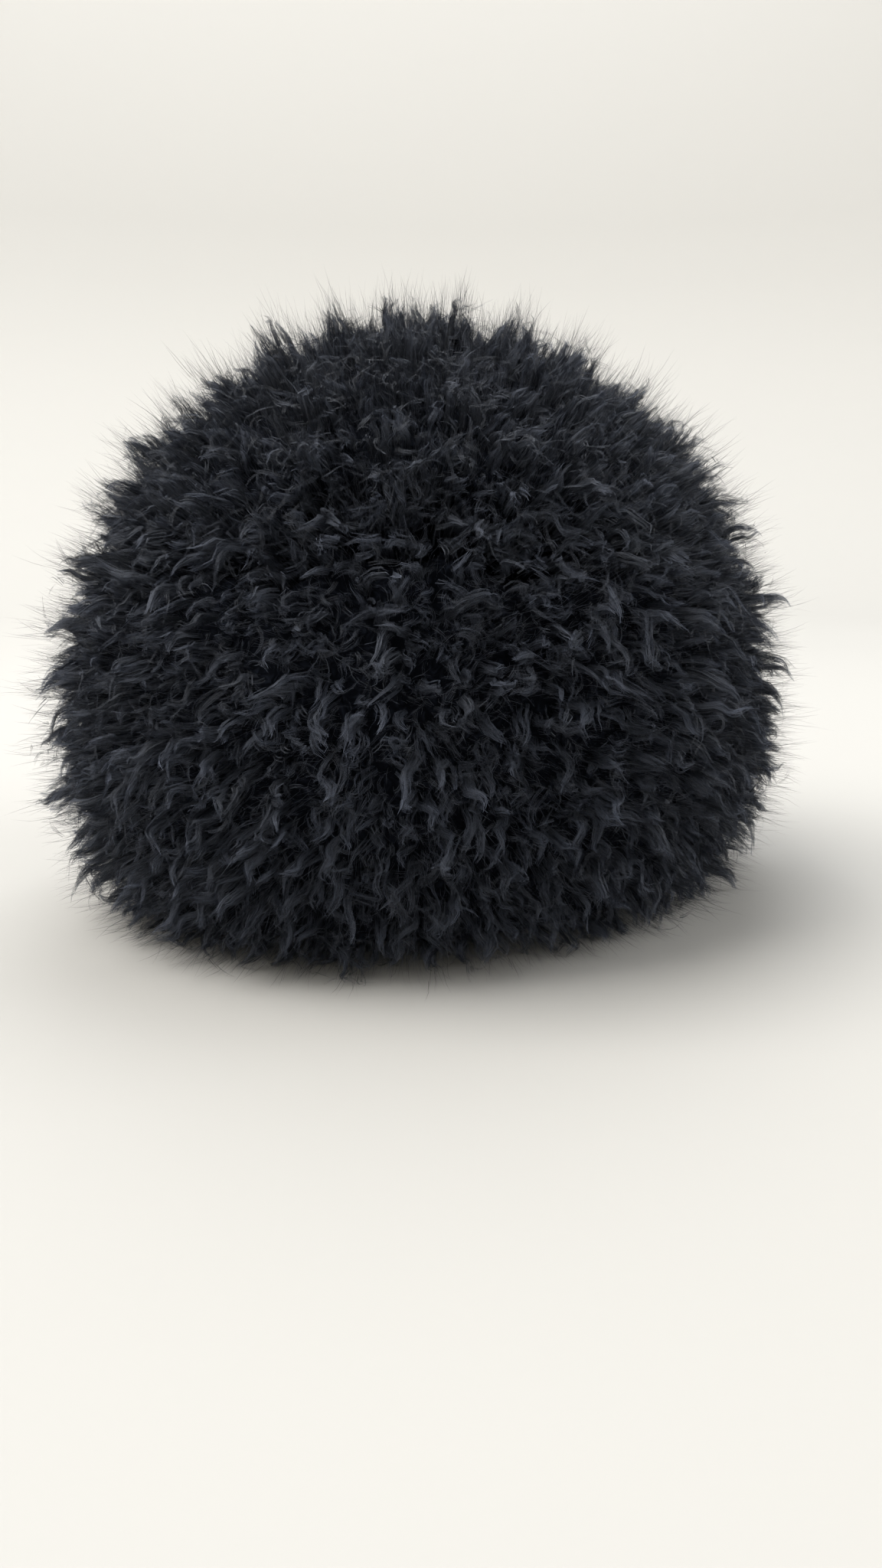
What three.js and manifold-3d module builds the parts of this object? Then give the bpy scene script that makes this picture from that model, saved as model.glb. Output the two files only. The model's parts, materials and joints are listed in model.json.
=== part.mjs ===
// A shaggy black sheepskin hat of the Turkmen telpek kind, standing on its rim.
// Two cuts of sheepskin are sewn edge to edge: a side band and a domed crown panel. Each cut is a thin hide
// wall with a deep fleece on its outside, and the dome is hollow and open below for the head.
// Millimetres, +Z up, front towards -Y, the wearer's left towards +X, rim on the plane Z = 0.
import * as THREE from "three";
import { mergeVertices } from "three/addons/utils/BufferGeometryUtils.js";
import Module from "manifold-3d";

const wasm = await Module();
wasm.setup();
const { lerp, smoothstep, degToRad } = THREE.MathUtils;

// Driving dimensions
const HIDE_WALL = 2.5; // thickness of the tanned skin
const PIECE_GAP = 0.4; // left between neighbouring pieces
const RIM_WIDTH_SHARE = 0.85; // width over length of the head opening
const CROWN_WIDTH_SHARE = 0.92; // width over length from OVAL_HEIGHT upwards
const OVAL_HEIGHT = 80;
const SEAM_SHARE = 0.56; // where the crown panel is sewn on, from rim (0) to top (1) along the skin
const FLOOR_CLEARANCE = 2; // the fleece ends this far above the plane that the rim stands on

// The outside of the hide, seen from the side. halfLength runs from the middle to the front.
const HIDE_SECTIONS = [
  { halfLength: 102.5, height: 0 },
  { halfLength: 111, height: 30 },
  { halfLength: 116, height: 72 },
  { halfLength: 112, height: 116 },
  { halfLength: 93, height: 158 },
  { halfLength: 57, height: 190 },
  { halfLength: 22, height: 203 },
  { halfLength: 0, height: 205 },
];

// How far the fleece stands off the hide, from rim (0) to top (1).
const FLEECE_DEPTHS = [
  { share: 0, depth: 46 },
  { share: 0.15, depth: 56 },
  { share: 0.3, depth: 63 },
  { share: 1, depth: 62 },
];

// Broad swells and dents of the fleece. angle is in degrees from the front towards the wearer's left.
const FLEECE_SWELLS = [
  { name: "front roll", angle: 0, share: 0.22, reach: 60, swell: 5 },
  { name: "forehead parting", angle: 35, share: 0.5, reach: 45, swell: -5 },
  { name: "left temple dent", angle: 80, share: 0.36, reach: 45, swell: -4 },
  { name: "back shoulder dent", angle: 150, share: 0.62, reach: 60, swell: -2 },
  { name: "nape roll", angle: 165, share: 0.14, reach: 55, swell: 7 },
  { name: "right side dent", angle: 285, share: 0.5, reach: 50, swell: -5 },
  { name: "crown peak", angle: 20, share: 0.93, reach: 45, swell: 4 },
];

// The locks stand on a net over the skin: a lock's tip at each knot, and valleys between the knots.
const NET_DETAIL = 8; // divisions of the geodesic net
const NET_RIM_ANGLE = degToRad(104); // from the net's top down to the rim
const NET_STRAY = 0.022; // how far a knot strays from the even net, as a share of its radius
const NET_FOOT = -120; // height at which the net closes, far below the rim
const TIP_SHARE = { least: 0.92, most: 1.05 }; // of the fleece depth
const VALLEY_SHARE = 0.76; // of the fleece depth, midway between two tips
const PIT_SHARE = 0.7; // of the fleece depth, in the middle of three tips
const LOCK_DROOP = { least: 13, most: 19 }; // how far a tip on an upright wall hangs below its root
const LOCK_SWAY = 4; // how far a tip strays to either side
const HEART_HEIGHT = 72; // height on the axis that the locked forms reach in to
const SEED = 7;

// How finely the walls are faceted
const AROUND = 40;
const SIDE_STEPS = 7;
const CROWN_STEPS = 5;

// Numbers from 0 to 1 that are the same on every run.
function seededRandom(seed) {
  let state = seed;
  return () => {
    state = (state + 0x6d2b79f5) | 0;
    let mixed = Math.imul(state ^ (state >>> 15), 1 | state);
    mixed = (mixed + Math.imul(mixed ^ (mixed >>> 7), 61 | mixed)) ^ mixed;
    return ((mixed ^ (mixed >>> 14)) >>> 0) / 4294967296;
  };
}

const random = seededRandom(SEED);
const between = (least, most) => lerp(least, most, random());

// The skin's surface
const hideOutline = new THREE.SplineCurve(
  HIDE_SECTIONS.map(({ halfLength, height }) => new THREE.Vector2(halfLength, height)),
);
const seamGap = PIECE_GAP / 2 / hideOutline.getLength();

// The direction out of the skin at a share of its outline, in the outline's own plane.
function outlineNormal(share) {
  const tangent = hideOutline.getTangentAt(share);
  return new THREE.Vector2(tangent.y, -tangent.x);
}

function outlinePoint(share, offset) {
  const point = hideOutline.getPointAt(share).addScaledVector(outlineNormal(share), offset);
  return new THREE.Vector2(share === 1 ? 0 : Math.max(0, point.x), point.y);
}

function outlineRun(from, to, steps, offset) {
  return Array.from({ length: steps + 1 }, (_, step) => outlinePoint(lerp(from, to, step / steps), offset));
}

function widthShare(height) {
  return lerp(RIM_WIDTH_SHARE, CROWN_WIDTH_SHARE, smoothstep(height, 0, OVAL_HEIGHT));
}

function skinPoint(share, angle, offset) {
  const { x: radius, y: height } = outlinePoint(share, offset);
  const across = radius * Math.sin(angle) * widthShare(height);
  return new THREE.Vector3(across, -radius * Math.cos(angle), height);
}

function skinNormal(share, angle) {
  const { x: out, y: up } = outlineNormal(share);
  const across = (out * Math.sin(angle)) / widthShare(hideOutline.getPointAt(share).y);
  return new THREE.Vector3(across, -out * Math.cos(angle), up).normalize();
}

// The fleece's depth at a place on the skin
function depthAlong(share) {
  const next = Math.max(1, FLEECE_DEPTHS.findIndex((row) => row.share >= share));
  const [low, high] = [FLEECE_DEPTHS[next - 1], FLEECE_DEPTHS[next]];
  return lerp(low.depth, high.depth, (share - low.share) / (high.share - low.share));
}

function fleeceDepth(share, angle) {
  const place = skinPoint(share, angle, 0);
  return FLEECE_SWELLS.reduce((depth, row) => {
    const away = place.distanceTo(skinPoint(row.share, degToRad(row.angle), 0)) / row.reach;
    return depth + row.swell * Math.exp(-away * away);
  }, depthAlong(share));
}

// Solids
function solidFrom(geometry) {
  geometry.deleteAttribute("normal");
  geometry.deleteAttribute("uv");
  const merged = mergeVertices(geometry, 1e-4);
  const vertProperties = merged.attributes.position.array;
  return new wasm.Manifold(
    new wasm.Mesh({ numProp: 3, vertProperties, triVerts: new Uint32Array(merged.index.array) }),
  );
}

function geometryFrom(solid) {
  const { vertProperties, triVerts } = solid.getMesh();
  return new THREE.BufferGeometry()
    .setAttribute("position", new THREE.BufferAttribute(vertProperties, 3))
    .setIndex(new THREE.BufferAttribute(triVerts, 1));
}

// A profile turned about the hat's axis, then squeezed to the head's oval.
function ovalGeometry(profile) {
  const geometry = new THREE.LatheGeometry(profile, AROUND).rotateX(Math.PI / 2);
  const places = geometry.attributes.position;
  for (let i = 0; i < places.count; i++) {
    places.setX(i, places.getX(i) * widthShare(places.getZ(i)));
  }
  return geometry;
}

// The hide of the side band: a wall from rim to seam, closed at both edges.
function sideHide() {
  const outer = outlineRun(0, SEAM_SHARE - seamGap, SIDE_STEPS, 0);
  const inner = outlineRun(0, SEAM_SHARE - seamGap, SIDE_STEPS, -HIDE_WALL);
  const rimEdge = inner[0].setY(outer[0].y);
  return ovalGeometry([...outer, ...inner.slice(1).reverse(), rimEdge, outer[0]]);
}

// The hide of the crown panel: a dome from seam to top, closed at the seam.
function crownHide() {
  const outer = outlineRun(SEAM_SHARE + seamGap, 1, CROWN_STEPS, 0);
  const inner = outlineRun(SEAM_SHARE + seamGap, 1, CROWN_STEPS, -HIDE_WALL);
  return ovalGeometry([...inner.reverse(), ...outer]);
}

// What the hide takes up, with the gap round it and the head's hollow filled.
function hideForm() {
  const sideSkin = outlineRun(0, SEAM_SHARE - seamGap, SIDE_STEPS, PIECE_GAP);
  const crownSkin = outlineRun(SEAM_SHARE + seamGap, 1, CROWN_STEPS, PIECE_GAP);
  const foot = new THREE.Vector2(sideSkin[0].x, NET_FOOT);
  return solidFrom(ovalGeometry([new THREE.Vector2(0, NET_FOOT), foot, ...sideSkin, ...crownSkin]));
}

// A block larger than the hat, with its underside where the fleece ends.
function aboveFloor() {
  const size = 1000;
  return solidFrom(new THREE.BoxGeometry(size, size, size).translate(0, 0, size / 2 + FLOOR_CLEARANCE));
}

// Where a direction of the net meets the skin. Below the rim the share is negative.
function netPlace(direction) {
  const share = 1 - Math.acos(direction.z) / NET_RIM_ANGLE;
  return { share, angle: Math.atan2(direction.x, -direction.y) };
}

// A point of the net at a part of the fleece's depth. Below the rim the net runs in to a foot on the axis.
function netPoint(direction, depthShare) {
  const { share, angle } = netPlace(direction);
  const onSkin = Math.max(0, share);
  const point = skinPoint(onSkin, angle, fleeceDepth(onSkin, angle) * depthShare);
  const below = (onSkin - share) / (Math.PI / NET_RIM_ANGLE - 1);
  return point.lerp(new THREE.Vector3(0, 0, NET_FOOT), below);
}

// A lock's tip, which leaves the skin and sinks towards the floor.
function lockTip(direction) {
  const { share, angle } = netPlace(direction);
  const down = new THREE.Vector3(0, 0, -1).projectOnPlane(skinNormal(Math.max(0, share), angle));
  const aside = new THREE.Vector3(Math.cos(angle), Math.sin(angle), 0);
  return netPoint(direction, between(TIP_SHARE.least, TIP_SHARE.most))
    .addScaledVector(down, between(LOCK_DROOP.least, LOCK_DROOP.most))
    .addScaledVector(aside, between(-LOCK_SWAY, LOCK_SWAY));
}

// The net's triangles, each as its three knots. A knot has its direction, its lock's tip and the cut of
// sheepskin that it grows on.
function makeNet() {
  const sphere = new THREE.IcosahedronGeometry(1, NET_DETAIL);
  sphere.deleteAttribute("normal");
  sphere.deleteAttribute("uv");
  const even = mergeVertices(sphere, 1e-4);
  const places = even.attributes.position;
  const stray = () => between(-NET_STRAY, NET_STRAY);
  const knots = Array.from({ length: places.count }, (_, i) => {
    const direction = new THREE.Vector3().fromBufferAttribute(places, i);
    direction.add(new THREE.Vector3(stray(), stray(), stray())).normalize();
    return { direction, tip: lockTip(direction), onCrown: netPlace(direction).share > SEAM_SHARE };
  });
  const corners = Array.from(even.index.array, (i) => knots[i]);
  return Array.from({ length: corners.length / 3 }, (_, i) => corners.slice(3 * i, 3 * i + 3));
}

function middle(...knots) {
  return knots.reduce((sum, knot) => sum.add(knot.direction), new THREE.Vector3()).normalize();
}

// The locks of one cut of sheepskin as a solid that reaches in to the hat's heart. Each triangle of the net
// gives every one of its three locks two facets, and the open border between the cuts is closed at the heart.
function lockedForm(net, onCrown) {
  const heart = new THREE.Vector3(0, 0, HEART_HEIGHT);
  const facets = [];
  for (const knots of net) {
    const pit = netPoint(middle(...knots), PIT_SHARE);
    knots.forEach((knot, i) => {
      if (knot.onCrown !== onCrown) return;
      const [next, last] = [knots[(i + 1) % 3], knots[(i + 2) % 3]];
      const nextValley = netPoint(middle(knot, next), VALLEY_SHARE);
      const lastValley = netPoint(middle(last, knot), VALLEY_SHARE);
      facets.push(knot.tip, nextValley, pit, knot.tip, pit, lastValley);
      if (next.onCrown !== onCrown) facets.push(heart, pit, nextValley);
      if (last.onCrown !== onCrown) facets.push(heart, lastValley, pit);
    });
  }
  return solidFrom(new THREE.BufferGeometry().setFromPoints(facets));
}

// Materials
const hideLeather = new THREE.MeshStandardMaterial({ color: 0x2a2624, roughness: 0.95, metalness: 0 });
const blackWool = new THREE.MeshStandardMaterial({ color: 0x16181c, roughness: 0.85, metalness: 0 });

function piece(name, geometry, material) {
  const mesh = new THREE.Mesh(geometry, material);
  mesh.name = name;
  return mesh;
}

// The hat
const net = makeNet();
const sideFleece = lockedForm(net, false).intersect(aboveFloor()).subtract(hideForm());
const crownFleece = lockedForm(net, true).translate([0, 0, PIECE_GAP]).subtract(hideForm());

const hat = new THREE.Group();
hat.add(
  piece("side_hide", sideHide(), hideLeather),
  piece("crown_hide", crownHide(), hideLeather),
  piece("side_fleece", geometryFrom(sideFleece), blackWool),
  piece("crown_fleece", geometryFrom(crownFleece), blackWool),
);

// The origin lies under the middle of the outline, on the plane that the rim stands on.
const outline = new THREE.Box3().setFromObject(hat).getCenter(new THREE.Vector3());
hat.position.set(-outline.x, -outline.y, 0);

export default hat;
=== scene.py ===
# %% [markdown]
# # A shaggy black sheepskin hat
#
# The hat is two cuts of sheepskin, a side band and a domed crown panel, worn with the wool outside. The
# solids give its size, its hollow and the form of its larger locks. This lesson dresses them: a dark
# undercoat fills the depth of the fleece, tens of thousands of strands in pointed tufts cover it, and the
# bare skin inside gets a suede finish.

# %% Load the frame
import json
import math

import bpy
import numpy as np
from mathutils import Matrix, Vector, noise
from mathutils.bvhtree import BVHTree
from mathutils.kdtree import KDTree

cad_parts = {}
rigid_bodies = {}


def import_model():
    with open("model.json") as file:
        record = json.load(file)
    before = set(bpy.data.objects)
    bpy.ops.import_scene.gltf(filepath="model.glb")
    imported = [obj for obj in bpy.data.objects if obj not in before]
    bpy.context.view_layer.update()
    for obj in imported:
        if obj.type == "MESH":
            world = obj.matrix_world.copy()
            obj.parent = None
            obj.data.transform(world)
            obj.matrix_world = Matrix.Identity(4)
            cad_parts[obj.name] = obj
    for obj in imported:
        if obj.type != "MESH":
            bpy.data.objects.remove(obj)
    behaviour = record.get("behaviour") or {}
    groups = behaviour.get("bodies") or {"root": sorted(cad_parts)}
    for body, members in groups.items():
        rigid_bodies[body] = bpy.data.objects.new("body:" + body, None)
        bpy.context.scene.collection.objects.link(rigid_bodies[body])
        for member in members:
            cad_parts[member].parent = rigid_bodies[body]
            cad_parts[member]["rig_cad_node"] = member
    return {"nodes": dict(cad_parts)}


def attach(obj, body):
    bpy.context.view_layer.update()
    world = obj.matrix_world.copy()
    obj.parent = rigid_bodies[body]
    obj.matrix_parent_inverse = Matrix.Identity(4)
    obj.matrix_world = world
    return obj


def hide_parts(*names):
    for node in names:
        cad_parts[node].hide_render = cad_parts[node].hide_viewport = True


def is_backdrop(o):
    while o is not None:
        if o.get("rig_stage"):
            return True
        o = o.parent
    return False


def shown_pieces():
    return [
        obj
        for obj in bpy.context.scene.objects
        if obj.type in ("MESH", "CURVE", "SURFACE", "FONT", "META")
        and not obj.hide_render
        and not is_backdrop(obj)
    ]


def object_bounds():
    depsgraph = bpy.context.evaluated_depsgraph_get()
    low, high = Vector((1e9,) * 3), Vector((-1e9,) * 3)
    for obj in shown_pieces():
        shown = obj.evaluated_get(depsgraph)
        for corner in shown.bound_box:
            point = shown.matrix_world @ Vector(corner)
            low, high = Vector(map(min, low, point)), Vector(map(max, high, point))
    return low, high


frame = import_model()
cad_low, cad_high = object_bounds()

MM = 0.001
hat_centre = (cad_low + cad_high) / 2
hat_size = cad_high - cad_low
print("hat size in mm:", [round(side / MM) for side in hat_size])

# %% [markdown]
# ## The camera
#
# The photograph looks at the left and the front of the hat with a short lens from close by. A hat that
# stands on its rim can't be seen from below, so the camera keeps the same side of the hat and comes in
# from just above the floor. Its distance follows from the share of the picture's width that the hat takes
# up.

# %% Place the camera
PHOTO_WIDTH, PHOTO_HEIGHT = 1152, 2048
LENS, LONG_SIDE = 26, 36  # millimetres of focal length and sensor
VIEW_AZIMUTH, VIEW_ELEVATION = math.radians(57), math.radians(4)
HAT_WIDTH_SHARE = 0.88
HAT_ACROSS, HAT_DOWN = 0.48, 0.385  # the hat's middle, as shares of the picture


def way_to(azimuth, elevation):
    """The direction from the hat to a place round it. Azimuth 0 is the front."""
    return Vector((
        math.sin(azimuth) * math.cos(elevation),
        -math.cos(azimuth) * math.cos(elevation),
        math.sin(elevation),
    ))


def look(thing, way):
    """Turns a camera or a lamp, which both look along their own -Z."""
    thing.rotation_mode = "QUATERNION"
    thing.rotation_quaternion = way.to_track_quat("-Z", "Y")


half_height = LONG_SIDE / 2 / LENS
half_width = half_height * PHOTO_WIDTH / PHOTO_HEIGHT
hat_reach = math.hypot(math.cos(VIEW_AZIMUTH) * hat_size.x, math.sin(VIEW_AZIMUTH) * hat_size.y) / 2
distance = hat_reach * math.sqrt(1 + 1 / (HAT_WIDTH_SHARE * half_width) ** 2)

to_camera = way_to(VIEW_AZIMUTH, VIEW_ELEVATION)
camera_right = Vector((math.cos(VIEW_AZIMUTH), math.sin(VIEW_AZIMUTH), 0))
camera_up = to_camera.cross(camera_right)
aim = (
    hat_centre
    + camera_right * distance * half_width * (1 - 2 * HAT_ACROSS)
    - camera_up * distance * half_height * (1 - 2 * HAT_DOWN)
)

bpy.ops.object.select_all(action="DESELECT")
bpy.ops.object.camera_add(location=hat_centre + to_camera * distance)
camera = bpy.context.object
camera.name = "view_camera"
look(camera, aim - camera.location)
camera.data.lens = LENS
camera.data.sensor_width = LONG_SIDE
camera.data.clip_start = 0.01
bpy.context.scene.camera = camera
print("camera distance in mm:", round(distance / MM))

# %% [markdown]
# ## Shader maths
#
# A finish is a small sum: this much of a dark tone, a little more where the wool is lighter. Written as
# Python expressions such sums stay readable. A Value wraps one socket and turns each operator into a Math
# node. Every other node comes from one method of the Finish that it belongs to.

# %% A value and a finish
class Value:
    """A socket that takes part in sums."""

    def __init__(self, finish, socket):
        self.finish = finish
        self.socket = socket

    def maths(self, operation, first, second):
        return self.finish.node("ShaderNodeMath", {"operation": operation}, {0: first, 1: second})

    def __add__(self, other):
        return self.maths("ADD", self, other)

    def __mul__(self, other):
        return self.maths("MULTIPLY", self, other)

    def __sub__(self, other):
        return self.maths("SUBTRACT", self, other)

    def __rsub__(self, other):
        return self.maths("SUBTRACT", other, self)

    def __pow__(self, other):
        return self.maths("POWER", self, other)

    __radd__ = __add__
    __rmul__ = __mul__


class Finish:
    """A material with one shader, whose sockets take numbers, colours or Values."""

    def __init__(self, name, **sockets):
        self.material = bpy.data.materials.new(name)
        self.material.use_nodes = True
        self.tree = self.material.node_tree
        self.shader = self.tree.nodes["Principled BSDF"]
        self.set(**sockets)

    def set(self, **sockets):
        for name, value in sockets.items():
            self.fill(self.shader.inputs[name.replace("_", " ")], value)

    def fill(self, socket, value):
        if isinstance(value, Value):
            self.tree.links.new(value.socket, socket)
        else:
            socket.default_value = value

    def node(self, kind, settings, sockets, output=0):
        made = self.tree.nodes.new(kind)
        for name, value in settings.items():
            setattr(made, name, value)
        for name, value in sockets.items():
            self.fill(made.inputs[name], value)
        return Value(self, made.outputs[output])

    def place(self):
        return self.node("ShaderNodeTexCoord", {}, {}, "Object")

    def attribute(self, name):
        return self.node("ShaderNodeAttribute", {"attribute_name": name}, {}, "Fac")

    def grain(self, size, detail=2.0, roughness=0.5):
        """Noise from 0 to 1 with blotches of a size in metres."""
        sockets = {"Vector": self.place(), "Scale": 1 / size, "Detail": detail, "Roughness": roughness}
        return self.node("ShaderNodeTexNoise", {}, sockets, "Fac")

    def span(self, value, low, high):
        """A value made to run from 0 at low to 1 at high."""
        return self.node("ShaderNodeMapRange", {}, {"Value": value, "From Min": low, "From Max": high})

    def between(self, share, low, high):
        """A colour from low to high."""
        return self.node("ShaderNodeMix", {"data_type": "RGBA"}, {0: share, 6: low, 7: high}, 2)

    def bump(self, height, strength, depth):
        return self.node("ShaderNodeBump", {}, {"Height": height, "Strength": strength, "Distance": depth})


def wear(piece, finish):
    piece.data.materials.clear()
    piece.data.materials.append(finish.material)


# %% [markdown]
# ## The wool's finishes
#
# Black wool is not one black, and light and shade are painted into it too. The roots are painted
# dark as painted shade deep in the fleece, the tips lighter as painted light where they catch it, and
# single strands are lighter or darker than their neighbours. A fleece also has far too many hairs to model
# each one. So a strand of a tuft is a narrow ribbon that stands for a few hairs side by side, and its
# finish is see-through between them. Noise that is stretched along the ribbon draws the hairs, each with
# painted shade at its edges. Three attributes of the strands feed it: how far along the strand a point is,
# how far across, and a tone of the strand's own.

# %% Mix the wool
ALONG, ACROSS, TONE = "along_strand", "across_strand", "strand_tone"
# Painted light and shade: the root colours are the wool painted darker as painted shade deep in the fleece,
# the tip colours are painted lighter as painted light where the tips catch it, and GAP_LIGHT and HAIR_LIGHT
# paint each hair darker at its edges than in its middle, as painted shade between the hairs.
WOOL_SHADED_ROOT, WOOL_LIT_TIP = (0.0078, 0.0103, 0.016, 1), (0.102, 0.118, 0.162, 1)
HAIR_SHADED_ROOT, HAIR_LIT_TIP = (0.008, 0.0092, 0.0122, 1), (0.07, 0.08, 0.107, 1)
TONE_ACROSS, TONE_UP = 90, 31  # how far a tone moves the noise, so that each tone has hairs of its own
HAIR_CHANGE = 1.6  # how much the hairs change from root to tip
HAIR_EDGE = (-0.02, 0.06)  # cover at which a hair begins to show, and at which it is solid
ROOT_SHADE_POWER = 1.2  # a power: more keeps the dark of the roots further up
GAP_LIGHT, HAIR_LIGHT = 0.55, 2  # the light at a hair's edge, and how much its middle adds


def black_wool(name, hairs, root_gap, tip_gap):
    """Wool on ribbons that are see-through between their hairs, more so towards the tip."""
    wool = Finish(name, Roughness=0.7, Specular_IOR_Level=0.35)
    along, across, tone = (wool.attribute(label) for label in (ALONG, ACROSS, TONE))
    lines = {0: hairs * across + TONE_ACROSS * tone, 1: HAIR_CHANGE * along, 2: TONE_UP * tone}
    streaks = {"Vector": wool.node("ShaderNodeCombineXYZ", {}, lines), "Scale": 1, "Detail": 0}
    fibres = wool.node("ShaderNodeTexNoise", {}, streaks, "Fac")
    cover = fibres - root_gap - (tip_gap - root_gap) * along
    wool.set(Alpha=wool.span(cover, *HAIR_EDGE))
    # Painted shade and light: the colour darkens towards the root as painted shade and lightens towards the
    # tip as painted light, and each hair is painted darker at its edges than in its middle as painted shade.
    # The strand's tone is its own.
    lightness = along**ROOT_SHADE_POWER * tone * (GAP_LIGHT + HAIR_LIGHT * cover)
    wool.set(Base_Color=wool.between(lightness, WOOL_SHADED_ROOT, WOOL_LIT_TIP))
    return wool


def single_hairs():
    """Wool on ribbons as thin as a hair."""
    wool = Finish("single_hairs", Roughness=0.65, Specular_IOR_Level=0.35)
    # Painted shade and light: darker towards the root as painted shade and lighter towards the tip as
    # painted light, times the hair's own tone.
    lightness = wool.attribute(TONE) * wool.attribute(ALONG)
    wool.set(Base_Color=wool.between(lightness, HAIR_SHADED_ROOT, HAIR_LIT_TIP))
    return wool


tuft_finish = black_wool("black_wool", hairs=16, root_gap=0.45, tip_gap=0.6)
wisp_finish = black_wool("wispy_wool", hairs=14, root_gap=0.56, tip_gap=0.68)
hair_finish = single_hairs()
print("wool finishes:", [f.material.name for f in (tuft_finish, wisp_finish, hair_finish)])

# %% [markdown]
# ## The felt and the skin
#
# Deep down the same wool is felted and lies in the shade, so the undercoat is darker still and dull, with a
# bump of matted wisps. The inside of the hat is the skin itself, tanned and brushed to suede: a fine nap,
# broad blotches where it was handled, and a little sheen.

# %% Mix the felt and the skin
HIDES = ("side_hide", "crown_hide")
# Painted shade: both felt colours are the wool painted darker still, as the shade deep in the fleece. The
# ridged noise between them draws matted wisps.
FELT_DARK, FELT_LIGHT = (0.0018, 0.0023, 0.0036, 1), (0.0148, 0.018, 0.027, 1)
FELT_WISP = 5 * MM
SKIN_DARK, SKIN_LIGHT = (0.012, 0.0105, 0.0095, 1), (0.05, 0.045, 0.042, 1)
SKIN_BLOTCH, SKIN_NAP = 35 * MM, 0.9 * MM


def felted_undercoat():
    wool = Finish("felted_undercoat", Roughness=1.0, Specular_IOR_Level=0.03)
    wisps = {"Vector": wool.place(), "Scale": 1 / FELT_WISP, "Detail": 4, "Gain": 1.6, "Distortion": 1.5}
    felt = wool.node("ShaderNodeTexNoise", {"noise_type": "RIDGED_MULTIFRACTAL"}, wisps, "Fac")
    wool.set(Base_Color=wool.between(felt, FELT_DARK, FELT_LIGHT))
    wool.set(Normal=wool.bump(felt, strength=0.8, depth=2 * MM))
    return wool


def tanned_skin():
    skin = Finish("tanned_skin", Sheen_Weight=0.2, Sheen_Roughness=0.6, Specular_IOR_Level=0.25)
    blotches = skin.grain(SKIN_BLOTCH, detail=4)
    nap = skin.grain(SKIN_NAP, detail=5, roughness=0.65)
    lightness = 0.55 * blotches + 0.45 * nap
    skin.set(Base_Color=skin.between(lightness, SKIN_DARK, SKIN_LIGHT))
    skin.set(Roughness=0.8 + 0.18 * nap)
    skin.set(Normal=skin.bump(nap + 0.6 * blotches, strength=0.55, depth=0.8 * MM))
    return skin


undercoat_finish = felted_undercoat()
skin_finish = tanned_skin()
for hide in HIDES:
    wear(frame["nodes"][hide], skin_finish)
print("suede on:", HIDES)

# %% [markdown]
# ## Reading the solids
#
# The fleece grows on the hide, so each place on the fleece knows the nearest place on the hide. The line
# between the two is the way that the wool grows out, and the part of gravity across that line is the way it
# hangs.

# %% Read the solids
def mesh_arrays(node):
    """A node's points and triangles."""
    mesh = node.data
    points = np.empty(len(mesh.vertices) * 3)
    mesh.vertices.foreach_get("co", points)
    mesh.calc_loop_triangles()
    triangles = np.empty(len(mesh.loop_triangles) * 3, int)
    mesh.loop_triangles.foreach_get("vertices", triangles)
    return points.reshape(-1, 3), triangles.reshape(-1, 3)


def hide_tree():
    """A search tree over both hides."""
    points, triangles = [], []
    for name in HIDES:
        more_points, more_triangles = mesh_arrays(frame["nodes"][name])
        triangles.append(more_triangles + sum(len(p) for p in points))
        points.append(more_points)
    print("hide triangles:", sum(len(t) for t in triangles))
    return BVHTree.FromPolygons(np.concatenate(points).tolist(), np.concatenate(triangles).tolist())


hide_surface = hide_tree()


def nearest_on_hide(places):
    return np.array([hide_surface.find_nearest(place)[0] for place in places.tolist()])


def unit(vectors):
    return vectors / np.maximum(np.linalg.norm(vectors, axis=-1, keepdims=True), 1e-12)


def column(values):
    return values[:, None]


# %% [markdown]
# ## The undercoat
#
# Under its tips a fleece is a dense dark mass. A copy of each fleece solid is melted to that mass: its
# doubles are merged, the sharp tips of the locks are drawn in, a voxel remesh fuses the facets, smoothing
# rounds them, and the outer face sinks in to make room for the tufts that will stand on it. The face that
# lies on the hide stays where it is.

# %% Melt the undercoat
VOXEL = 5 * MM
SINK = 9 * MM  # how far the outer face goes in
HELD_DEPTH, FREE_DEPTH = 8 * MM, 25 * MM  # distances from the hide between which the face begins to move
OUTER_FACE = "outer_face"


def apply_modifier(piece, kind, **settings):
    modifier = piece.modifiers.new(kind.lower(), kind)
    for name, value in settings.items():
        setattr(modifier, name, value)
    bpy.ops.object.modifier_apply(modifier=modifier.name)


def group_outer_face(piece):
    """A vertex group that holds on near the hide and lets go further out."""
    points, _ = mesh_arrays(piece)
    depth = np.linalg.norm(points - nearest_on_hide(points), axis=1)
    freedom = np.clip((depth - HELD_DEPTH) / (FREE_DEPTH - HELD_DEPTH), 0, 1)
    piece.vertex_groups.clear()
    group = piece.vertex_groups.new(name=OUTER_FACE)
    for index, weight in enumerate(freedom.tolist()):
        group.add([index], weight, "REPLACE")


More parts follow.
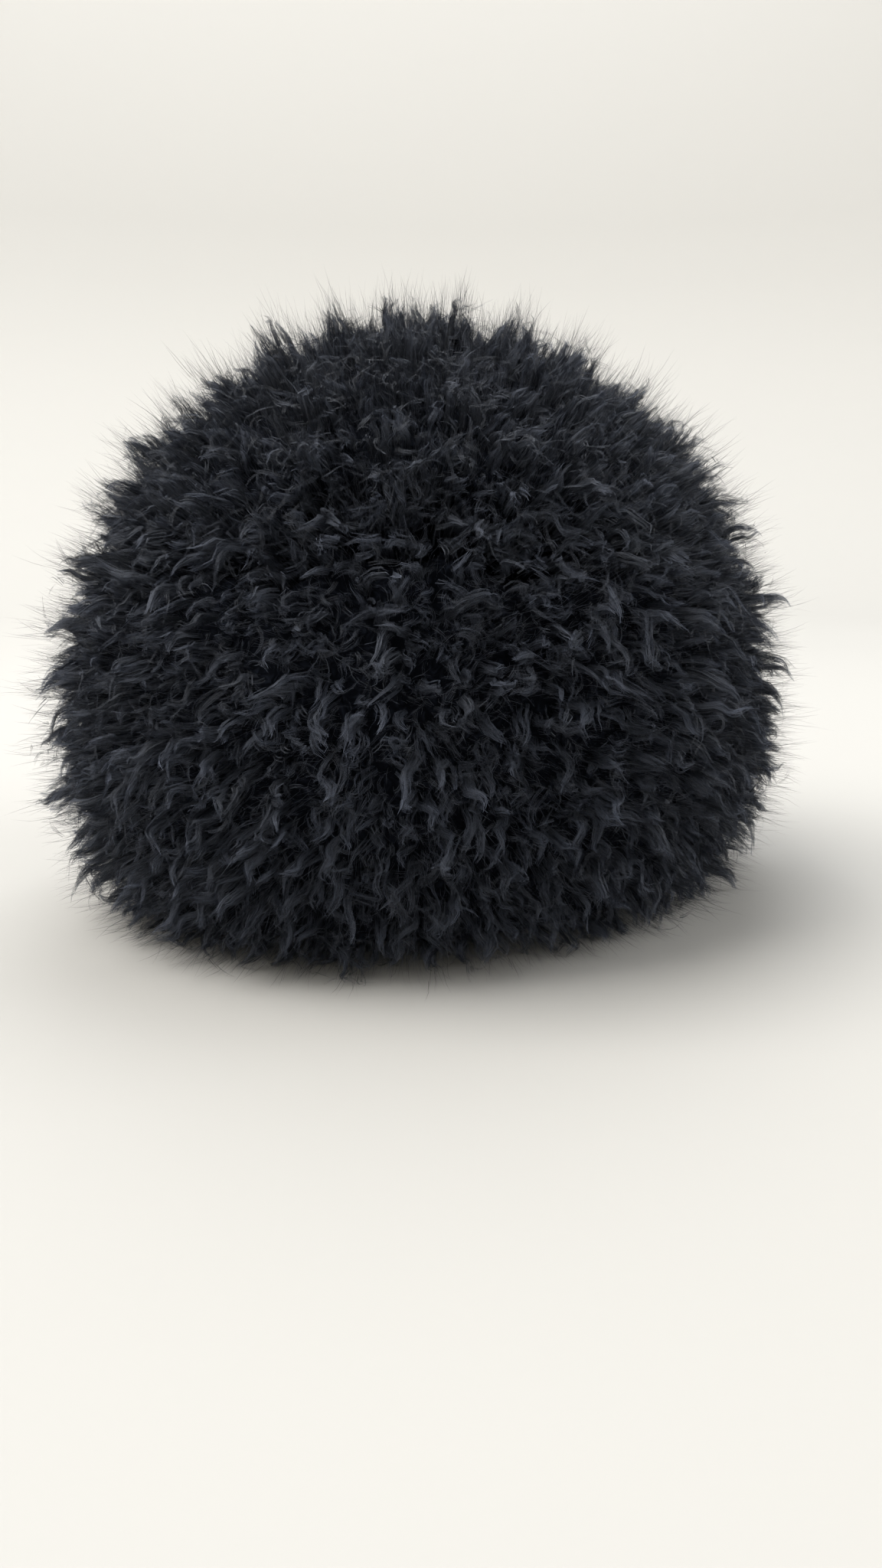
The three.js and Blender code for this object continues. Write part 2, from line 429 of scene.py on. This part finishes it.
def make_undercoat(name, node_name):
    piece = bpy.data.objects.new(name, frame["nodes"][node_name].data.copy())
    bpy.context.scene.collection.objects.link(piece)
    bpy.ops.object.select_all(action="DESELECT")
    piece.select_set(True)
    bpy.context.view_layer.objects.active = piece
    bpy.ops.object.mode_set(mode="EDIT")
    bpy.ops.mesh.select_all(action="SELECT")
    bpy.ops.mesh.remove_doubles(threshold=0.01 * MM)
    bpy.ops.object.mode_set(mode="OBJECT")
    group_outer_face(piece)
    apply_modifier(piece, "SMOOTH", factor=0.7, iterations=1, vertex_group=OUTER_FACE)
    apply_modifier(piece, "REMESH", mode="VOXEL", voxel_size=VOXEL)
    group_outer_face(piece)
    apply_modifier(piece, "SMOOTH", factor=0.5, iterations=12, vertex_group=OUTER_FACE)
    apply_modifier(piece, "DISPLACE", strength=-SINK, mid_level=0, vertex_group=OUTER_FACE)
    piece.vertex_groups.clear()
    bpy.ops.object.shade_smooth()
    wear(piece, undercoat_finish)
    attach(piece, "root")
    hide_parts(node_name)
    print(name, "triangles:", len(mesh_arrays(piece)[1]))


make_undercoat("side_undercoat", "side_fleece")
make_undercoat("crown_undercoat", "crown_fleece")

# %% [markdown]
# ## Where the tufts grow
#
# Tufts stand a few millimetres apart all over the outward facets of the locks, never in rows. Candidates
# are drawn by area, and one is kept only if no kept one is nearer than the spacing.

# %% Scatter the tufts
TRIES = 60000
OUTWARD = 0.12  # least share of a facet's direction that points out
LEAST_DEPTH = 26 * MM  # facets nearer the hide than this are the fleece's inner faces


def spaced(places, spacing):
    """The indices of places that keep a spacing, first come first kept."""
    kept = []
    cells = {}
    around = [(i, j, k) for i in (-1, 0, 1) for j in (-1, 0, 1) for k in (-1, 0, 1)]
    for index, place in enumerate(places.tolist()):
        x, y, z = (int(c // spacing) for c in place)
        near = (p for i, j, k in around for p in cells.get((x + i, y + j, z + k), ()))
        if all(math.dist(place, p) >= spacing for p in near):
            cells.setdefault((x, y, z), []).append(place)
            kept.append(index)
    return kept


def places_on(node_name, spacing, rng):
    """Places on a fleece's outward facets, and how wool grows out, hangs and turns aside there."""
    points, triangles = mesh_arrays(frame["nodes"][node_name])
    corners = points[triangles]
    across = np.cross(corners[:, 1] - corners[:, 0], corners[:, 2] - corners[:, 0])
    area = np.linalg.norm(across, axis=1)
    drawn = rng.choice(len(area), TRIES, p=area / area.sum())
    shares = rng.dirichlet((1, 1, 1), TRIES)
    places = np.einsum("ij,ijk->ik", shares, corners[drawn])
    growth = places - nearest_on_hide(places)
    depth = np.linalg.norm(growth, axis=1)
    out = unit(growth)
    facing = (unit(across[drawn]) * out).sum(1)
    wanted = np.flatnonzero((facing > OUTWARD) & (depth > LEAST_DEPTH))
    kept = wanted[spaced(places[wanted], spacing)]
    places, out = places[kept], out[kept]
    hang = np.array((0, 0, -1)) + out * out[:, 2:]
    aside = unit(np.cross(out, (0, 0, 1)) + 1e-6)
    return places, out, hang, aside


def swirl(places, size, offset):
    """Smooth values from about -1 to 1 that turn neighbouring tufts the same way."""
    shift = Vector((offset, 2 * offset, 3 * offset))
    return np.array([noise.noise(Vector(p) / size + shift) for p in places.tolist()])


# %% [markdown]
# ## Strands from arrays
#
# One strand is a ribbon that narrows to a point. A modifier for each of so many would never end, so all
# strands of a piece are worked out together as arrays and become one mesh. Each strand has one of a small
# set of patterns of hairs and tone. Strands of one pattern look alike, so they share a cell of the UV map,
# and the map of a whole piece stays sharp when it is baked.

# %% Build ribbons
PATTERN_COLUMNS, PATTERN_ROWS = 6, 4
PATTERNS = PATTERN_COLUMNS * PATTERN_ROWS
CELL_SIDE, CELL_END = 0.1, 0.05  # margins in a cell
FLOOR_GAP = 0.2 * MM  # the lowest that a ribbon's edge may be


def ribbons(paths, facing, widths, tones):
    """Points and values of ribbons that follow paths, an array of strands by steps by three."""
    count, steps, _ = paths.shape
    size = 2 * steps - 1  # two points for each step, and one at the tip
    tangent = unit(np.gradient(paths, axis=1))
    side = unit(np.cross(tangent, facing[:, None, :])) * widths[:, :, None] / 2
    points = np.empty((count, size, 3))
    points[:, 0:-1:2] = (paths - side)[:, :-1]
    points[:, 1:-1:2] = (paths + side)[:, :-1]
    points[:, -1] = paths[:, -1]
    points[..., 2] = np.maximum(points[..., 2], FLOOR_GAP)
    along = np.repeat(np.linspace(0, 1, steps), 2)[:size]
    across = np.tile((0.0, 1.0), steps)[:size]
    across[-1] = 0.5
    patterns = np.clip((tones * PATTERNS).astype(int), 0, PATTERNS - 1)
    values = {ALONG: along, ACROSS: across, TONE: (column(patterns) + 0.5) / PATTERNS}
    return {
        "points": points,
        "values": {label: np.broadcast_to(part, (count, size)) for label, part in values.items()},
        "cells": pattern_cells(patterns, along, across),
    }


def pattern_cells(patterns, along, across):
    """A place on the UV map for each point, in the upright cell of the strand's pattern."""
    left = column(patterns % PATTERN_COLUMNS) + CELL_SIDE + (1 - 2 * CELL_SIDE) * across
    low = column(patterns // PATTERN_COLUMNS) + CELL_END + (1 - 2 * CELL_END) * along
    return np.stack((left, low), axis=-1) / (PATTERN_COLUMNS, PATTERN_ROWS)


def ribbon_faces(count, size):
    """The corners of each ribbon's quads and of the triangle at its tip."""
    start = size * np.arange(count)
    low = np.arange(0, size - 3, 2)
    quads = start[:, None, None] + (low[:, None] + np.array((0, 1, 3, 2)))[None]
    tips = start[:, None] + np.array((size - 3, size - 2, size - 1))
    return quads.reshape(-1, 4), tips


print("patterns of hairs:", PATTERNS)

# %% [markdown]
# The arrays go into a mesh in one call for each kind of data: points, corners and where each face starts.
# The quads come first and the tips after them, so the starts are counted in fours and then in threes.

# %% Join ribbons to a piece
def strand_piece(name, strands, finish):
    """One mesh of many ribbons."""
    count, size, _ = strands["points"].shape
    quads, tips = ribbon_faces(count, size)
    corners = np.concatenate((quads.ravel(), tips.ravel())).astype(np.int32)
    starts = np.concatenate((4 * np.arange(len(quads)), 4 * len(quads) + 3 * np.arange(len(tips))))

    mesh = bpy.data.meshes.new(name)
    mesh.vertices.add(count * size)
    mesh.vertices.foreach_set("co", strands["points"].astype(np.float32).ravel())
    mesh.loops.add(len(corners))
    mesh.loops.foreach_set("vertex_index", corners)
    mesh.polygons.add(len(starts))
    mesh.polygons.foreach_set("loop_start", starts.astype(np.int32))
    mesh.polygons.foreach_set("use_smooth", np.ones(len(starts), bool))
    for label, values in strands["values"].items():
        data = mesh.attributes.new(label, "FLOAT", "POINT").data
        data.foreach_set("value", values.astype(np.float32).ravel())
    baking = mesh.uv_layers.new(name="OFBake")
    cells = strands["cells"].reshape(-1, 2)
    baking.data.foreach_set("uv", cells[corners].astype(np.float32).ravel())
    mesh.update(calc_edges=True)
    mesh.validate()

    piece = bpy.data.objects.new(name, mesh)
    bpy.context.scene.collection.objects.link(piece)
    wear(piece, finish)
    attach(piece, "root")
    print(name, "strands:", count, "triangles:", 2 * len(quads) + len(tips))


# %% [markdown]
# ## Keeping strands in bounds
#
# The wool may stand out a little past the solids, but not far, and it can't go through the floor. So a
# strand that reaches out too far is drawn back towards its root, and one that would go down through the
# floor comes to lie on it.

# %% Keep strands in bounds
PROUD = np.array((9, 9, 14)) * MM  # how far strands may stand out past the box of the solids
FLOOR_SOFTNESS = 2.5 * MM


def off_floor(paths):
    """Strands that would go through the floor come down on it softly instead."""
    height = paths[..., 2]
    paths[..., 2] = (height + np.sqrt(height**2 + FLOOR_SOFTNESS**2)) / 2
    return paths


def inside_box(paths):
    """Strands that would stand out too far are drawn back towards their roots."""
    root = paths[:, :1]
    room_high = np.array(cad_high) + PROUD - root
    room_low = root - np.array(cad_low) + PROUD
    stretch = np.maximum((paths - root) / room_high, (root - paths) / room_low).max(axis=(1, 2))
    return root + (paths - root) / np.maximum(stretch, 1)[:, None, None]


print("room past the solids in mm:", (PROUD / MM).round().tolist())

# %% [markdown]
# ## A tuft's spine
#
# Wool leaves the skin upright, then its own weight bends it over. A tuft's spine is a curve of three
# points: root, bend and tip. How it leans changes slowly over the hat, faster from lock to lock, and a
# little from tuft to tuft. Then the tips of neighbours are pulled towards one of them, as wool clings
# together in clumps. The crown's wool is looser and stands up more than the wool of the side.

# %% Shape the spines
FLEECES = {
    "side_fleece": {
        "spacing": 6.0,
        "strands": 8,
        "root_spread": 3.2,
        "tip_spread": 1.2,
        "stray_share": 0.08,
        "wave": 2.2,
        "hang": 0.38,
        "turn": 0.55,
        "upright": 1.6,
    },
    "crown_fleece": {
        "spacing": 5.5,
        "strands": 7,
        "root_spread": 3.4,
        "tip_spread": 1.4,
        "stray_share": 0.12,
        "wave": 1.5,
        "hang": 0.3,
        "turn": 0.5,
        "upright": 0.8,
    },
}  # lengths in millimetres; upright is a power, and less of it makes more tufts stand
TUFT_LENGTHS = (20, 29)  # millimetres
TIP_STANDS = (-3, 6)  # millimetres that tips stand out from the solid
CLUMP = 11 * MM  # between the tufts that lead clumps
CLUMP_PULLS = (0.35, 0.75)  # shares of the way to the leader's tip


def nearest_leaders(places, spacing):
    """For each tuft, the tuft that leads its clump."""
    leaders = spaced(places, spacing)
    tree = KDTree(len(leaders))
    for leader in leaders:
        tree.insert(places[leader], leader)
    tree.balance()
    return np.array([tree.find(place)[1] for place in places.tolist()])


def wander(places, offset, rng):
    """How far each tuft leans one way: with its part of the hat, with its lock and on its own."""
    broad = 0.7 * swirl(places, 40 * MM, offset)
    close = 0.9 * swirl(places, 12 * MM, 2 * offset)
    return broad + close + rng.normal(0, 0.35, len(places))


def tuft_spines(places, out, hang, aside, fleece, rng):
    """The root, bend and tip of each tuft's spine, and its length."""
    count = len(places)
    length = rng.uniform(*TUFT_LENGTHS, count) * MM
    lean = wander(places, 3.1, rng)
    nod = wander(places, 5.3, rng)
    upright = rng.uniform(0, 1, count) ** fleece["upright"]
    turn = aside * column(lean) + np.cross(out, aside) * column(nod)
    fall = (hang * fleece["hang"] + turn * fleece["turn"]) * column(1 - 0.75 * upright)
    stand = rng.uniform(*TIP_STANDS, count) + 3 * upright
    stand = (stand + 4 * swirl(places, 16 * MM, 7.7)) * MM
    tip = places + out * column(stand) + fall * column(0.25 * length)
    root = tip - (out * (0.72 + 0.15 * column(upright)) + fall) * column(length)
    bend = root + (out * 0.6 + fall * 0.1) * column(length)
    pull = column(rng.uniform(*CLUMP_PULLS, count))
    tip = tip + (tip[nearest_leaders(places, CLUMP)] - tip) * pull
    return root, bend, tip, length


# %% [markdown]
# ## A tuft's strands
#
# The strands of a tuft start spread over a few millimetres and draw together towards the tip, which makes
# the point. They end at different lengths. A slow wave runs down the whole tuft, each strand shakes a
# little on its own, and a few stray from it.

# %% Shape the strands
STRAND_PARTS = np.array((0, 0.25, 0.4, 0.53, 0.65, 0.77, 0.89, 1))  # the hidden first part is one long step
STRAND_SHARES = (0.72, 1.0)  # of the spine that strands follow
STRAND_WIDTH = 1.9 * MM
STRAY_SPREAD = 3.5  # millimetres
WAVE_LENGTHS = (13, 20)  # millimetres
SHAKE = 0.2 * MM


def along_curves(first, second, third, part):
    """Places on curves of three points."""
    first, second, third = first[:, None], second[:, None], third[:, None]
    return first * (1 - part) ** 2 + 2 * second * part * (1 - part) + third * part**2


def tuft_paths(places, out, hang, aside, fleece, rng):
    """The paths of all strands of some tufts, the way that each ribbon faces and the tuft that it is in."""
    root, bend, tip, length = tuft_spines(places, out, hang, aside, fleece, rng)
    tuft = np.repeat(np.arange(len(places)), fleece["strands"])
    count = len(tuft)
    across = unit(np.cross(out, aside))
    turn = rng.uniform(0, 2 * math.pi, count)
    disc = aside[tuft] * column(np.cos(turn)) + across[tuft] * column(np.sin(turn))
    reach = np.sqrt(rng.uniform(0, 1, count))
    strays = rng.uniform(0, 1, count) < fleece["stray_share"]
    tip_spread = np.where(strays, STRAY_SPREAD, fleece["tip_spread"]) * MM
    root_offset = disc * column(reach * fleece["root_spread"] * MM)
    tip_offset = disc * column(reach * tip_spread)
    tip_offset = tip_offset + out[tuft] * column(rng.normal(0, 0.4, count) * tip_spread)

    part = STRAND_PARTS[None, :, None] * rng.uniform(*STRAND_SHARES, count)[:, None, None]
    first = root[tuft] + root_offset
    second = bend[tuft] + 0.8 * root_offset
    third = tip[tuft] + tip_offset
    paths = along_curves(first, second, third, part)

    waves = length / rng.uniform(*WAVE_LENGTHS, len(places)) / MM * 2 * math.pi
    phase = rng.uniform(0, 2 * math.pi, (2, len(places)))
    swing = part[..., 0] * column(waves[tuft])
    height = (fleece["wave"] * rng.uniform(0.5, 1.5, len(places)) * MM)[tuft]
    ripple = column(height) * part[..., 0] ** 0.8
    paths += aside[tuft][:, None] * (ripple * np.sin(swing + column(phase[0][tuft])))[..., None]
    paths += across[tuft][:, None] * (0.6 * ripple * np.sin(swing + column(phase[1][tuft])))[..., None]
    paths += rng.normal(0, SHAKE, paths.shape)

    facing = unit(0.7 * out[tuft] + 0.9 * disc + rng.normal(0, 0.3, (count, 3)))
    return off_floor(inside_box(paths)), facing, tuft


def strand_widths(count, steps, width, rng):
    """Widths along each strand: full for half of its length, then a long point."""
    taper = np.interp(np.linspace(0, 1, steps), (0, 0.5, 1), (1, 0.95, 0.2))
    return rng.uniform(0.75, 1.25, (count, 1)) * width * taper


# %% [markdown]
# ## The fleece, piece by piece
#
# The whole fleece is too heavy for one mesh, so each cut of sheepskin is parted into sectors, as seen from
# above. Each tuft has a tone of its own, and the tones rise and fall in patches a few tufts wide.

# %% Grow the fleece
SECTORS = {
    "side_fleece": ("front", "left", "back", "right"),
    "crown_fleece": ("front", "back"),
}
TUFT_TONES = (0.3, 1)
TONE_PATCH = 22 * MM


def sector_of(places, count):
    """Which sector each place lies in. The first is centred on the front, and they go round by the left."""
    angle = np.arctan2(places[:, 0] - hat_centre.x, hat_centre.y - places[:, 1])
    return np.floor(angle / (2 * math.pi) * count + 0.5).astype(int) % count


def grow_fleece(node_name, rng):
    fleece = FLEECES[node_name]
    ground = places_on(node_name, fleece["spacing"] * MM, rng)
    names = SECTORS[node_name]
    sector = sector_of(ground[0], len(names))
    tones = rng.uniform(*TUFT_TONES, len(sector)) * (1 + 1.1 * swirl(ground[0], TONE_PATCH, 9.3))
    for number, sector_name in enumerate(names):
        here = np.flatnonzero(sector == number)
        paths, facing, tuft = tuft_paths(*(part[here] for part in ground), fleece, rng)
        tone = tones[here][tuft] + rng.normal(0, 0.12, len(tuft))
        widths = strand_widths(len(paths), len(STRAND_PARTS), STRAND_WIDTH, rng)
        name = f"{node_name.replace('fleece', 'tufts')}_{sector_name}"
        strand_piece(name, ribbons(paths, facing, widths, tone), tuft_finish)
    print(node_name, "tufts:", len(sector))
    return ground


rng = np.random.default_rng(41)
side_ground = grow_fleece("side_fleece", rng)
crown_ground = grow_fleece("crown_fleece", rng)

# %% [markdown]
# ## Fuzz and flyaway hairs
#
# Wool is never tidy. Short wispy curls fill the gaps between the tufts and blur them, and single hairs
# stand out past the outline, where they catch the light. Both are arcs: the fuzz lies low and curls far
# round, the flyaways stand up and hardly bend.

# %% Add the fuzz and the flyaways
HAIR_DEPTH = 4 * MM  # how far below the tufts' places hairs start
HAIR_SCATTER = 2.5 * MM
HAIR_TONES = (0.15, 0.8)
FUZZ = {
    "lengths": (9, 16),
    "stands": (0.1, 0.6),
    "most_turn": 2.6,
    "width": 1.8 * MM,
    "steps": 6,
    "finish": wisp_finish,
}
FLYAWAYS = {
    "lengths": (12, 22),
    "stands": (0.8, 1.0),
    "most_turn": 0.55,
    "width": 0.09 * MM,
    "steps": 3,
    "finish": hair_finish,
}  # lengths in millimetres; stands go from flat at 0 to upright at 1


def curl_paths(places, out, length, stand, kind, rng):
    """Hairs bent to arcs that start at places."""
    count = len(places)
    sway = rng.normal(0, 1, (count, 3))
    lie = unit(sway - out * column((sway * out).sum(1)))
    way = unit(lie * column(1 - stand) + out * column(stand))
    aside = np.cross(out, lie) * column(rng.choice((-1, 1), count)) - out * column(0.5 * stand)
    turn = rng.uniform(0.15, 1, count) * kind["most_turn"]
    angle = column(turn) * np.linspace(0, 1, kind["steps"])
    radius = (length / turn)[:, None, None]
    forward = way[:, None] * np.sin(angle)[..., None]
    sideways = unit(aside)[:, None] * (1 - np.cos(angle))[..., None]
    return off_floor(inside_box(places[:, None] + radius * (forward + sideways)))


def hair_piece(name, grounds, count, kind, rng):
    """Single hairs that start by tufts drawn at random, a little way in."""
    places, out = (np.concatenate([ground[i] for ground in grounds]) for i in (0, 1))
    picks = rng.choice(len(places), count)
    starts = places[picks] + rng.normal(0, HAIR_SCATTER, (count, 3)) - out[picks] * HAIR_DEPTH
    length = rng.uniform(*kind["lengths"], count) * MM
    stand = rng.uniform(*kind["stands"], count)
    paths = curl_paths(starts, out[picks], length, stand, kind, rng)
    facing = unit(out[picks] + rng.normal(0, 0.6, (count, 3)))
    widths = strand_widths(count, kind["steps"], kind["width"], rng)
    tones = rng.uniform(*HAIR_TONES, count)
    strand_piece(name, ribbons(paths, facing, widths, tones), kind["finish"])


hair_piece("side_fuzz", [side_ground], 10000, FUZZ, rng)
hair_piece("crown_fuzz", [crown_ground], 6000, FUZZ, rng)
hair_piece("flyaway_hairs", [side_ground, crown_ground], 40000, FLYAWAYS, rng)

# %% [markdown]
# ## The floor
#
# The stage is a pale round floor that curves up into a wall on every side, so that each view has the same
# soft background. A circle is the start, and its rim is extruded ring by ring up a quarter of a circle.

# %% Make the floor
FLOOR_RADIUS, WALL_CURVE, WALL_STEPS, WALL_HEIGHT = 1.7, 0.9, 10, 2.2
# Painted light: the paper is painted darker near the middle, where the lamps light it most, and lighter
# towards the wall, where less of their light reaches. A faint grain mottles it.
PAPER_NEAR, PAPER_FAR = (0.355, 0.345, 0.325, 1), (0.415, 0.404, 0.381, 1)
PAPER_EVEN = 1.2  # metres from the middle at which the paper begins to get lighter


def pale_paper():
    paper = Finish("pale_paper", Roughness=0.85, Specular_IOR_Level=0.2)
    away = paper.node("ShaderNodeVectorMath", {"operation": "LENGTH"}, {0: paper.place()}, "Value")
    # Painted light: lighter with distance from the middle, to even out the lamps' light.
    rise = paper.span(away, PAPER_EVEN, FLOOR_RADIUS + WALL_CURVE)
    shade = rise + 0.06 * paper.grain(0.5)
    paper.set(Base_Color=paper.between(shade, PAPER_NEAR, PAPER_FAR))
    return paper


def make_floor():
    bpy.ops.object.select_all(action="DESELECT")
    bpy.ops.mesh.primitive_circle_add(vertices=96, radius=FLOOR_RADIUS, fill_type="NGON", location=(0, 0, 0))
    floor = bpy.context.object
    floor.name = "floor"
    bpy.ops.object.mode_set(mode="EDIT")
    bpy.ops.mesh.select_mode(type="EDGE")
    bpy.ops.mesh.select_all(action="DESELECT")
    bpy.ops.mesh.select_non_manifold()
    bends = [math.radians(90) * step / WALL_STEPS for step in range(1, WALL_STEPS + 1)]
    rings = [(FLOOR_RADIUS + WALL_CURVE * math.sin(b), WALL_CURVE * (1 - math.cos(b))) for b in bends]
    rings.append((FLOOR_RADIUS + WALL_CURVE, WALL_HEIGHT))
    radius, height = FLOOR_RADIUS, 0.0
    for next_radius, next_height in rings:
        bpy.ops.mesh.extrude_edges_move(TRANSFORM_OT_translate={"value": (0, 0, next_height - height)})
        grow = next_radius / radius
        bpy.ops.transform.resize(value=(grow, grow, 1), center_override=(0, 0, next_height))
        radius, height = next_radius, next_height
    bpy.ops.mesh.select_all(action="SELECT")
    bpy.ops.mesh.normals_make_consistent(inside=True)
    bpy.ops.object.mode_set(mode="OBJECT")
    bpy.ops.object.shade_smooth()
    wear(floor, pale_paper())
    floor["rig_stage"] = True
    print("floor faces:", len(floor.data.polygons))


make_floor()

# %% [markdown]
# ## The light
#
# The light is that of a bright room. A wide window lamp high on the left gives the wool its shape, a weak
# lamp low on the right keeps that side from going black, and one from behind lights the hairs along the
# outline. The sky fills the rest.

# %% Hang the lamps
SKY_COLOUR, SKY_STRENGTH = (0.95, 0.97, 1.0, 1), 0.62
COOL_LIGHT, WARM_LIGHT = (0.96, 0.98, 1.0), (0.99, 0.98, 0.96)


def hang_lamp(name, azimuth, elevation, away, size, power, colour):
    """A square lamp that looks at the hat, at an angle from the camera's side of it."""
    way = way_to(VIEW_AZIMUTH + math.radians(azimuth), math.radians(elevation))
    bpy.ops.object.light_add(type="AREA", location=hat_centre + way * away)
    lamp = bpy.context.object
    lamp.name = name
    look(lamp, -way)
    lamp.data.size = size
    lamp.data.energy = power
    lamp.data.color = colour


hang_lamp("window", azimuth=-80, elevation=58, away=3.0, size=2.2, power=158, colour=WARM_LIGHT)
hang_lamp("side_lamp", azimuth=95, elevation=25, away=2.2, size=1.5, power=32, colour=COOL_LIGHT)
hang_lamp("back_lamp", azimuth=180, elevation=60, away=3.0, size=2.0, power=80, colour=COOL_LIGHT)

world = bpy.data.worlds.new("pale_room")
bpy.context.scene.world = world
world.use_nodes = True
sky = world.node_tree.nodes["Background"]
sky.inputs["Color"].default_value = SKY_COLOUR
sky.inputs["Strength"].default_value = SKY_STRENGTH
bpy.context.scene.view_settings.view_transform = "Standard"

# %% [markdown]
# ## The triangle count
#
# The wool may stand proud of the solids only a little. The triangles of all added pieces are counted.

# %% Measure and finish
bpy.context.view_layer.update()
total = sum(len(mesh_arrays(piece)[1]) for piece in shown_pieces() if "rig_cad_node" not in piece)
print("added triangles:", total)
